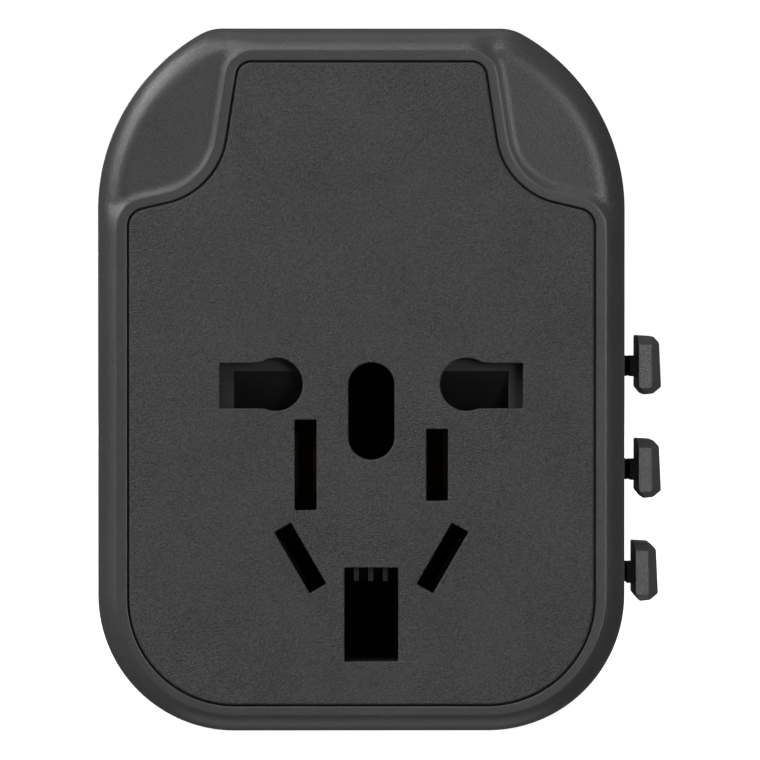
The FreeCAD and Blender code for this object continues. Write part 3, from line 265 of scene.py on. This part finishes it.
def make_mesh(name, vertices, faces, body, smooth_below=32):
    """A piece from millimetre vertices, smooth where faces meet below an angle, riding a body."""
    mesh = bpy.data.meshes.new(name)
    mesh.from_pydata((np.asarray(vertices) * MM).tolist(), [], faces)
    mesh.validate()
    piece = bpy.data.objects.new(name, mesh)
    bpy.context.scene.collection.objects.link(piece)
    mesh.shade_smooth()
    mesh.set_sharp_from_angle(angle=math.radians(smooth_below))
    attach(piece, body)
    return piece


def ring_faces(first, rings, count, closed):
    """Quads between successive rings of count points."""
    faces = []
    for r in range(rings if closed else rings - 1):
        a, b = first + r * count, first + ((r + 1) % rings) * count
        for i in range(count):
            j = (i + 1) % count
            faces.append((a + i, a + j, b + j, b + i))
    return faces


def placed(loop, y):
    """A loop of (x, z) points at one Y, or at one Y each."""
    return np.stack([loop[:, 0], np.broadcast_to(y, len(loop)), loop[:, 1]], axis=1)


def tube(centre, outer, inner, y_span, first, sides=40):
    """A closed boss with a bore."""
    turn = np.linspace(0, 2 * math.pi, sides, endpoint=False)
    circle = np.stack([np.cos(turn), np.sin(turn)], axis=1)
    loops = [(outer, y_span[0]), (outer, y_span[1]), (inner, y_span[1]), (inner, y_span[0])]
    rings = [placed(circle * r + centre, y) for r, y in loops]
    return np.concatenate(rings), ring_faces(first, 4, sides, True)


def front_rings(gap, outer):
    """Rings across the front from the panel gap to the edge, close together at both ends."""
    reach = np.linalg.norm(outer - gap, axis=1)
    near_gap = np.minimum(BY_GAP, BY_GAP_SHARE * reach)
    near_edge = np.minimum(BY_EDGE, BY_EDGE_SHARE * reach)
    middle = reach - near_gap - near_edge
    counts = (RINGS_BY_GAP, RINGS_BETWEEN, RINGS_BY_EDGE)
    by_gap, between, by_edge = (np.linspace(0, 1, count + 1) for count in counts)
    advances = [near_gap * t for t in by_gap]
    advances += [near_gap + middle * t for t in between[1:]]
    advances += [near_gap + middle + near_edge * t for t in by_edge[1:]]
    loops = [gap + (outer - gap) * (advance / reach)[:, None] for advance in advances]
    return [placed(loop, front_surface(loop)) for loop in loops]


def side_rings(outer, at_edge):
    """Rings down the side walls from the front edge to the slightly rounded parting line."""
    side_end = PARTING - PARTING_ROUND[0][1]
    rings = [placed(outer, at_edge + (side_end - at_edge) * t) for t in SIDE_RINGS]
    along = np.roll(outer, -1, axis=0) - np.roll(outer, 1, axis=0)
    inward = np.stack([-along[:, 1], along[:, 0]], axis=1)
    inward /= np.linalg.norm(inward, axis=1)[:, None]
    return rings + [placed(outer + inward * inset, PARTING - back) for inset, back in PARTING_ROUND]


def casing_front():
    """Front half of the casing: cavity, panel ledge and gap, front surface, side walls, bosses."""
    outer = all_round(sample(BODY_LINE, BODY_MARKS, STRETCHES))
    gap = all_round(sample(trace(grow(PANEL, PANEL_GAP)), PANEL_MARKS, STRETCHES))
    ledge = all_round(sample(trace(grow(PANEL, -LEDGE)), PANEL_MARKS, STRETCHES))
    cavity = all_round(sample(trace(grow(BODY, -WALL)), BODY_MARKS, STRETCHES))
    rings = [placed(cavity, PARTING), placed(cavity, INNER_FACE), placed(ledge, INNER_FACE),
             placed(ledge, RECESS), placed(gap, RECESS), placed(gap, GAP_FLOOR)]
    rings += front_rings(gap, outer)
    rings += side_rings(outer, rings[-1][:, 1])
    faces = ring_faces(0, len(rings), len(outer), True)
    vertices = np.concatenate(rings)
    for centre in SCREWS:
        span = (INNER_FACE - BOSS_ROOT, PARTING)
        boss, quads = tube(centre, BOSS_RADIUS, SCREW_BORE, span, len(vertices))
        vertices = np.concatenate([vertices, boss])
        faces += quads
    piece = make_mesh("casing_front", vertices, faces, "housing")
    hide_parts("front_housing")
    return piece


# ---------------------------------------------------------------- knobs


def knob(name):
    """Slide knob: a head with uneven bevels and a leaning front facet, on a stem with a locking lug."""
    low, high = (np.array(corner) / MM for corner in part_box(f"{name}_knob"))
    width, tall = HEAD_WIDTH, high[2] - low[2]
    near, foot, height = high[0] - width, low[2] + HEAD_RAISE, (low[2] + high[2]) / 2
    front_y, back_y = low[1], high[1]

    def section(points, y, lean=(0.0, 0.0)):
        """Points right of the head's near side and above its foot, at one Y or on a leaning plane."""
        left, base = points[-1][0], points[0][1]
        return [(near + x, y + lean[0] * (x - left) + lean[1] * (z - base), foot + z) for x, z in points]

    # Outlines from the front: the whole head, its front facet, and its smaller back.
    full = [(0.62, 0.0), (width - 0.82, 0.1), (width, 0.78), (width - 0.2, tall - 0.75),
            (width - 0.8, tall - 0.1), (0.0, tall), (0.0, 0.74)]
    facet = [(0.36, 0.58), (1.36, 0.58), (1.53, 0.76), (1.5, tall - 0.97),
             (1.36, tall - 0.84), (0.12, tall - 0.78), (0.12, 0.78)]
    back = [(0.85, 0.4), (width - 0.95, 0.45), (width - 0.4, 0.9), (width - 0.55, tall - 0.95),
            (width - 0.95, tall - 0.5), (0.4, tall - 0.45), (0.4, 0.8)]
    sections = [section(facet, front_y, FACET_LEAN), section(full, front_y + FRONT_BEVEL),
                section(full, back_y - REAR_BEVEL), section(back, back_y)]
    count = len(full)
    vertices = [p for s in sections for p in s]
    faces = ring_faces(0, 4, count, False)
    faces = [tuple(reversed(f)) for f in faces]
    faces.append(tuple(range(count)))
    faces.append(tuple(reversed(range(3 * count, 4 * count))))
    middle = (front_y + back_y) / 2
    neck, root = near - NECK_LENGTH, low[0]
    stem_z = (height - STEM_HALF_HEIGHT, height + STEM_HALF_HEIGHT)
    stem_rear = middle + STEM_HALF_DEPTH
    stem = ((root, neck), (middle - STEM_HALF_DEPTH, stem_rear), stem_z)
    forward = ((neck, near + STEM_INTO_HEAD), (front_y + FORWARD_INSET, stem_rear), stem_z)
    lug = ((root, root + LUG_LENGTH), (middle - LUG_HALF_DEPTH, middle + LUG_HALF_DEPTH),
           (height, height + LUG_TOP))
    for x_span, y_span, z_span in (stem, forward, lug):
        faces += box_quads(len(vertices))
        for z in z_span:
            for x, y in ((0, 0), (1, 0), (1, 1), (0, 1)):
                vertices.append((x_span[x], y_span[y], z))
    piece = make_mesh(f"{name}_slide_knob", vertices, faces, f"{name}_knob", 20)
    bevel = piece.modifiers.new("edges", "BEVEL")
    bevel.width = EDGE_ROUND * MM
    bevel.segments = 3
    bevel.limit_method = "ANGLE"
    bevel.angle_limit = math.radians(18)
    bevel.harden_normals = True
    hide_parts(f"{name}_knob")
    return piece


# ---------------------------------------------------------------- materials


class Paint:
    """A node material: a Principled shader fed by procedural colour, roughness and bump."""

    def __init__(self, name, colour, roughness, metallic=0.0, specular=0.5):
        self.material = bpy.data.materials.new(name)
        self.material.use_nodes = True
        self.tree = self.material.node_tree
        self.shader = self.tree.nodes["Principled BSDF"]
        self.shader.inputs["Base Color"].default_value = (*colour, 1)
        self.shader.inputs["Roughness"].default_value = roughness
        self.shader.inputs["Metallic"].default_value = metallic
        self.shader.inputs["Specular IOR Level"].default_value = specular
        self.place = self.node("ShaderNodeTexCoord").outputs["Object"]
        self.colour = colour

    def node(self, kind, **settings):
        """A new node with its settings."""
        made = self.tree.nodes.new(kind)
        for key, value in settings.items():
            setattr(made, key, value)
        return made

    def link(self, source, target):
        self.tree.links.new(source, target)

    def noise(self, scale, detail=2.0, rough=0.5, stretch=None):
        """Noise over the object's own coordinates, drawn out along an axis by stretch."""
        texture = self.node("ShaderNodeTexNoise")
        texture.inputs["Scale"].default_value = scale
        texture.inputs["Detail"].default_value = detail
        texture.inputs["Roughness"].default_value = rough
        place = self.place
        if stretch:
            mapping = self.node("ShaderNodeMapping")
            mapping.inputs["Scale"].default_value = stretch
            self.link(place, mapping.inputs["Vector"])
            place = mapping.outputs["Vector"]
        self.link(place, texture.inputs["Vector"])
        return texture.outputs["Fac"]

    def ramp(self, value, low, high, out_low, out_high):
        """A value from low to high spread from out_low to out_high."""
        spread = self.node("ShaderNodeMapRange")
        spread.inputs["From Min"].default_value = low
        spread.inputs["From Max"].default_value = high
        spread.inputs["To Min"].default_value = out_low
        spread.inputs["To Max"].default_value = out_high
        self.link(value, spread.inputs["Value"])
        return spread.outputs["Result"]

    def combine(self, operation, first, second):
        """A sum or product of two values, either of them a plain number."""
        maths = self.node("ShaderNodeMath", operation=operation)
        for socket, value in zip(maths.inputs, (first, second)):
            if isinstance(value, (int, float)):
                socket.default_value = value
            else:
                self.link(value, socket)
        return maths.outputs[0]

    def tint(self, factor, low, high):
        """Base colour between two tones, by a factor from 0 to 1."""
        mix = self.node("ShaderNodeMix", data_type="RGBA")
        mix.inputs["A"].default_value = (*[c * low for c in self.colour], 1)
        mix.inputs["B"].default_value = (*[min(c * high, 1) for c in self.colour], 1)
        self.link(factor, mix.inputs["Factor"])
        self.link(mix.outputs["Result"], self.shader.inputs["Base Color"])

    def gloss(self, factor, low, high):
        """Roughness between two values, by a cloudy factor."""
        self.link(self.ramp(factor, 0.15, 0.85, low, high), self.shader.inputs["Roughness"])

    def bump(self, height, strength, distance):
        """Relief of the surface, its depth in millimetres."""
        bump = self.node("ShaderNodeBump")
        bump.inputs["Strength"].default_value = strength
        bump.inputs["Distance"].default_value = distance * MM
        self.link(height, bump.inputs["Height"])
        self.link(bump.outputs["Normal"], self.shader.inputs["Normal"])

    def worn_and_sheen_edges(self):
        """Rises from 0 to 1 where the surface turns sharply: the mask for rubbed wear and painted edge
        sheen.
        """
        rounded = self.node("ShaderNodeBevel", samples=4)
        rounded.inputs["Radius"].default_value = 0.2 * MM
        actual = self.node("ShaderNodeNewGeometry")
        agree = self.node("ShaderNodeVectorMath", operation="DOT_PRODUCT")
        self.link(rounded.outputs["Normal"], agree.inputs[0])
        self.link(actual.outputs["Normal"], agree.inputs[1])
        return self.ramp(agree.outputs["Value"], 0.99, 0.85, 0.0, 1.0)


def spark_plastic(name, colour, roughness, grain, depth, speckle, edge_wear_and_sheen, specular=0.5):
    """Moulded plastic from a spark-textured tool: fine even grain, faint mottling, edges lightened
    partly as rubbed wear and partly as a painted sheen.
    """
    paint = Paint(name, colour, roughness, specular=specular)
    fine = paint.noise(1 / (grain * MM), 2.0, 0.6)
    broad = paint.noise(MOTTLING, 3.0, 0.55)
    grains = paint.ramp(fine, 0.3, 0.7, 0.0, 1.0)
    mottled = paint.ramp(broad, 0.3, 0.7, -0.1, 0.1)
    factor = paint.combine("ADD", grains, mottled)
    # Edges lighter in colour: partly rubbed wear, partly a painted edge sheen.
    factor = paint.combine("ADD", factor, paint.combine("MULTIPLY", paint.worn_and_sheen_edges(), edge_wear_and_sheen))
    paint.tint(factor, 1 - speckle, 1 + speckle)
    paint.gloss(broad, roughness - 0.02, roughness + 0.03)
    paint.bump(fine, 1.0, depth)
    return paint.material


def metal(name, colour, roughness, grain, stretch, scratch):
    """Plated or rolled metal: faint drawn lines, cloudy tarnish, uneven polish."""
    paint = Paint(name, colour, roughness, metallic=1.0)
    drawn = paint.noise(1 / (grain * MM), 3.0, 0.6, stretch)
    cloudy = paint.noise(TARNISH, 4.0, 0.6)
    paint.tint(paint.ramp(cloudy, 0.35, 0.65, 0.0, 1.0), 0.86, 1.04)
    paint.gloss(drawn, roughness - 0.07, roughness + 0.1)
    paint.bump(drawn, 0.6, scratch)
    return paint.material


casing_plastic = spark_plastic(
    "casing_plastic", (0.053, 0.0533, 0.0547),
    roughness=0.31, grain=0.12, depth=0.025, speckle=0.3, edge_wear_and_sheen=0.6,
)
panel_plastic = spark_plastic(
    "panel_plastic", (0.0425, 0.0428, 0.0447),
    roughness=0.52, grain=0.15, depth=0.13, speckle=0.66, edge_wear_and_sheen=0.3,
)
knob_plastic = spark_plastic(
    "knob_plastic", (0.078, 0.077, 0.08),
    roughness=0.34, grain=0.13, depth=0.04, speckle=0.3, edge_wear_and_sheen=0.6, specular=0.7,
)
# The stem's near-black colour and dull specular are painted shade, for the shadow it sits in between the
# knob head and the casing.
stem_painted_shade = spark_plastic(
    "stem_painted_shade", (0.006, 0.006, 0.0065),
    roughness=0.6, grain=0.1, depth=0.006, speckle=0.1, edge_wear_and_sheen=0.4, specular=0.12,
)
inner_plastic = spark_plastic(
    "inner_plastic", (0.005, 0.005, 0.0055),
    roughness=0.7, grain=0.14, depth=0.01, speckle=0.14, edge_wear_and_sheen=0.3,
)
shutter_plastic = spark_plastic(
    "shutter_plastic", (0.01, 0.0095, 0.0115),
    roughness=0.55, grain=0.12, depth=0.008, speckle=0.12, edge_wear_and_sheen=0.4,
)
carriage_plastic = spark_plastic(
    "carriage_plastic", (0.011, 0.011, 0.012),
    roughness=0.55, grain=0.12, depth=0.008, speckle=0.12, edge_wear_and_sheen=0.4,
)
pin_plastic = spark_plastic(
    "pin_plastic", (0.012, 0.012, 0.0125),
    roughness=0.4, grain=0.1, depth=0.004, speckle=0.08, edge_wear_and_sheen=0.4,
)
nickel = metal(
    "nickel_plate", (0.62, 0.60, 0.56),
    roughness=0.26, grain=0.05, stretch=(1.0, 0.12, 1.0), scratch=0.002,
)
# Brass darkened far below bright metal: painted shade of the contacts deep in the slots.
brass = metal(
    "brass_strip_painted_shade", (0.11, 0.07, 0.032),
    roughness=0.5, grain=0.06, stretch=(1.0, 0.15, 1.0), scratch=0.003,
)
steel = metal(
    "bright_steel", (0.52, 0.52, 0.53),
    roughness=0.3, grain=0.05, stretch=(1.0, 1.0, 0.3), scratch=0.003,
)
spring = metal(
    "spring_wire", (0.45, 0.45, 0.46),
    roughness=0.34, grain=0.04, stretch=(1.0, 1.0, 1.0), scratch=0.002,
)
ceramic = spark_plastic(
    "fuse_ceramic", (0.62, 0.60, 0.54),
    roughness=0.22, grain=0.2, depth=0.002, speckle=0.03, edge_wear_and_sheen=0.1,
)

FINISH = {
    "casing": casing_plastic, "panel": panel_plastic, "inner_moulding": inner_plastic,
    "shutter_plastic": shutter_plastic, "carriage_plastic": carriage_plastic,
    "knob_plastic": knob_plastic, "pin_plastic": pin_plastic, "plated_pin": nickel,
    "brass": brass, "fuse_body": ceramic, "spring_steel": spring, "bright_steel": steel,
}


def dress(thing, *finishes):
    """Give a piece these materials and no others."""
    thing.data.materials.clear()
    for finish in finishes:
        thing.data.materials.append(finish)


for part in frame["record"]["subparts"]:
    dress(nodes[part["node"]], FINISH[part["material_slot"]])

dress(casing_front(), casing_plastic)
for name in ("uk", "us", "eu"):
    slider = knob(name)
    dress(slider, knob_plastic, stem_painted_shade)
    # The stem blocks take the stem's painted-shade material.
    for face in slider.data.polygons[-len(box_quads()) * STEM_BLOCKS:]:
        face.material_index = 1

# ---------------------------------------------------------------- stage, light, camera


def white_stage(name, low, high, thickness, emission, albedo):
    """A pale surface that the camera sees but that throws no light on the object."""
    foot = ((low[0], low[1]), (high[0], low[1]), (high[0], high[1]), (low[0], high[1]))
    corners = [(x, y, z) for z in (low[2] - thickness, high[2]) for x, y in foot]
    mesh = bpy.data.meshes.new(name)
    mesh.from_pydata(corners, [], box_quads())
    thing = bpy.data.objects.new(name, mesh)
    bpy.context.scene.collection.objects.link(thing)
    material = bpy.data.materials.new(name)
    material.use_nodes = True
    shader = material.node_tree.nodes["Principled BSDF"]
    shader.inputs["Base Color"].default_value = (albedo, albedo, albedo, 1)
    shader.inputs["Roughness"].default_value = 1.0
    shader.inputs["Specular IOR Level"].default_value = 0.0
    shader.inputs["Emission Color"].default_value = (1, 1, 1, 1)
    shader.inputs["Emission Strength"].default_value = emission
    mesh.materials.append(material)
    thing.visible_diffuse = False
    thing.visible_glossy = False
    thing.visible_shadow = False
    return thing


white_stage("floor", (-4, -4, 0), (4, 4, 0), 0.02, 0.97, 0.6)
white_stage("backdrop", (-6, -6, -0.03), (6, 6, 6), 6.0, 1.05, 0.0)

WORLD_LIGHT = 0.13
MIDDLE = Vector((0.0, -0.02, 0.034))

world = bpy.data.worlds.new("world")
world.use_nodes = True
world.node_tree.nodes["Background"].inputs["Color"].default_value = (1, 1, 1, 1)
world.node_tree.nodes["Background"].inputs["Strength"].default_value = WORLD_LIGHT
bpy.context.scene.world = world


def soft_light(name, place, size, power):
    """A rectangular studio light aimed at the middle of the object."""
    light = bpy.data.lights.new(name, "AREA")
    light.shape = "RECTANGLE"
    light.size, light.size_y = size
    light.energy = power
    thing = bpy.data.objects.new(name, light)
    thing.visible_camera = False
    bpy.context.scene.collection.objects.link(thing)
    thing.location = place
    aim = MIDDLE - thing.location
    thing.rotation_euler = aim.to_track_quat("-Z", "Y").to_euler()
    return thing


soft_light("left", (-1.0, -0.72, 0.479), (0.42, 0.42), 4.6)
soft_light("right_front", (0.547, -1.194, 0.147), (0.42, 0.42), 4.0)
soft_light("above", (-0.184, -0.887, 0.985), (0.42, 0.42), 4.0)
soft_light("upper_left", (-0.86, -0.46, 0.9), (0.3, 0.3), 6.8)
soft_light("top", (0.0, 0.0, 1.3), (0.5, 0.4), 0.7)
soft_light("behind", (-0.35, 1.2, 0.35), (0.5, 0.5), 6.0)
soft_light("bounce", (0.0, 0.1, -1.0), (0.9, 0.7), 1.5)

# A long lens a little left of and above the middle of the front, nearly level.
CAMERA_PLACE = (-0.00553, -0.6275, 0.04452)
CAMERA_AIM = Vector((0.00177, -0.0275, 0.03402))
LENS = 294.5

camera = bpy.data.objects.new("camera", bpy.data.cameras.new("camera"))
bpy.context.scene.collection.objects.link(camera)
camera.location = CAMERA_PLACE
sight = CAMERA_AIM - camera.location
camera.rotation_euler = sight.to_track_quat("-Z", "Y").to_euler()
camera.data.sensor_width = 36
camera.data.lens = LENS
camera.data.clip_start = 0.01
camera.data.clip_end = 50
bpy.context.scene.camera = camera
bpy.context.scene.view_settings.view_transform = "Standard"
